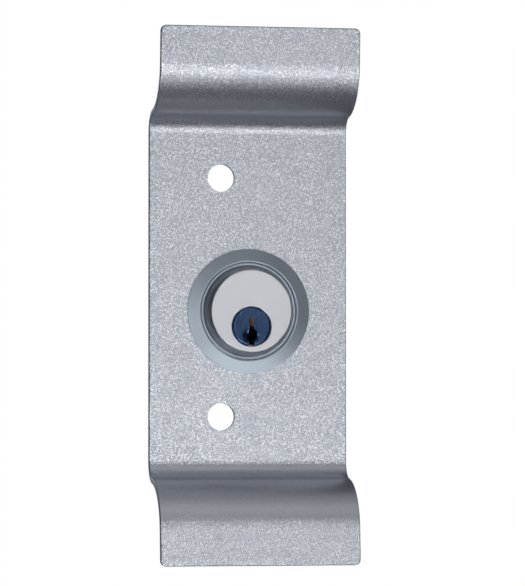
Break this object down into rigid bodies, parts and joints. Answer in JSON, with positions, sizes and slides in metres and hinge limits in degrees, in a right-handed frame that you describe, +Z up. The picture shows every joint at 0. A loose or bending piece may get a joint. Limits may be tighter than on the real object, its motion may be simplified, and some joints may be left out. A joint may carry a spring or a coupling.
{
  "type": "key cylinder pull plate",
  "caption": "Door pull plate with finger lips at top and bottom, two bolt holes and a keyed rim cylinder in a collar that turns a tailpiece behind the door.",
  "frame": {"origin": "middle of the pull plate's back face, on the door's outer surface", "axes": "+X to the right seen from outside the door, +Y into the door, +Z up"},
  "size_m": [0.0698, 0.0939, 0.1842],
  "materials": {
    "flake_paint": "silver metallic flake paint",
    "satin_chrome": "satin plating on brass",
    "plug_finish": "polished plating",
    "brass": "machined",
    "spring_steel": "drawn wire",
    "zinc_steel": "zinc plated"
  },
  "bodies": {
    "root": {"pull_plate": "flake_paint", "cylinder_collar": "satin_chrome", "cylinder_shell": "satin_chrome", "chamber_cover": "brass", "clamp_plate": "zinc_steel", "clamp_screw_1": "zinc_steel", "clamp_screw_2": "zinc_steel", "pin_spring_1": "spring_steel", "pin_spring_2": "spring_steel", "pin_spring_3": "spring_steel", "pin_spring_4": "spring_steel", "pin_spring_5": "spring_steel"},
    "plug": {"cylinder_plug": "plug_finish", "plug_cap": "brass", "cap_pin": "brass", "cap_pin_spring": "spring_steel", "tailpiece": "zinc_steel"},
    "key_pin_1": {"bottom_pin_1": "brass"},
    "driver_1": {"driver_pin_1": "brass"},
    "key_pin_2": {"bottom_pin_2": "brass"},
    "driver_2": {"driver_pin_2": "brass"},
    "key_pin_3": {"bottom_pin_3": "brass"},
    "driver_3": {"driver_pin_3": "brass"},
    "key_pin_4": {"bottom_pin_4": "brass"},
    "driver_4": {"driver_pin_4": "brass"},
    "key_pin_5": {"bottom_pin_5": "brass"},
    "driver_5": {"driver_pin_5": "brass"}
  },
  "joints": [
    {"name": "plug_turn", "type": "hinge", "parent": "root", "child": "plug", "pos_m": [0, 0, -0.01016], "axis": [0, 1, 0], "continuous": true},
    {"name": "key_pin_slide_1", "type": "slide", "parent": "plug", "child": "key_pin_1", "axis": [0, 0, 1], "range_m": [-0.00093, 0]},
    {"name": "key_pin_slide_2", "type": "slide", "parent": "plug", "child": "key_pin_2", "axis": [0, 0, 1], "range_m": [-0.00207, 0]},
    {"name": "key_pin_slide_3", "type": "slide", "parent": "plug", "child": "key_pin_3", "axis": [0, 0, 1], "range_m": [-0.00055, 0]},
    {"name": "key_pin_slide_4", "type": "slide", "parent": "plug", "child": "key_pin_4", "axis": [0, 0, 1], "range_m": [-0.00131, 0]},
    {"name": "key_pin_slide_5", "type": "slide", "parent": "plug", "child": "key_pin_5", "axis": [0, 0, 1], "range_m": [-0.00169, 0]},
    {"name": "driver_slide_1", "type": "slide", "parent": "root", "child": "driver_1", "axis": [0, 0, 1], "range_m": [0, 0.003], "stiffness_N_per_m": 150, "springref_m": -0.004, "deforming": ["pin_spring_1"]},
    {"name": "driver_slide_2", "type": "slide", "parent": "root", "child": "driver_2", "axis": [0, 0, 1], "range_m": [0, 0.003], "stiffness_N_per_m": 150, "springref_m": -0.004, "deforming": ["pin_spring_2"]},
    {"name": "driver_slide_3", "type": "slide", "parent": "root", "child": "driver_3", "axis": [0, 0, 1], "range_m": [0, 0.003], "stiffness_N_per_m": 150, "springref_m": -0.004, "deforming": ["pin_spring_3"]},
    {"name": "driver_slide_4", "type": "slide", "parent": "root", "child": "driver_4", "axis": [0, 0, 1], "range_m": [0, 0.003], "stiffness_N_per_m": 150, "springref_m": -0.004, "deforming": ["pin_spring_4"]},
    {"name": "driver_slide_5", "type": "slide", "parent": "root", "child": "driver_5", "axis": [0, 0, 1], "range_m": [0, 0.003], "stiffness_N_per_m": 150, "springref_m": -0.004, "deforming": ["pin_spring_5"]}
  ]
}
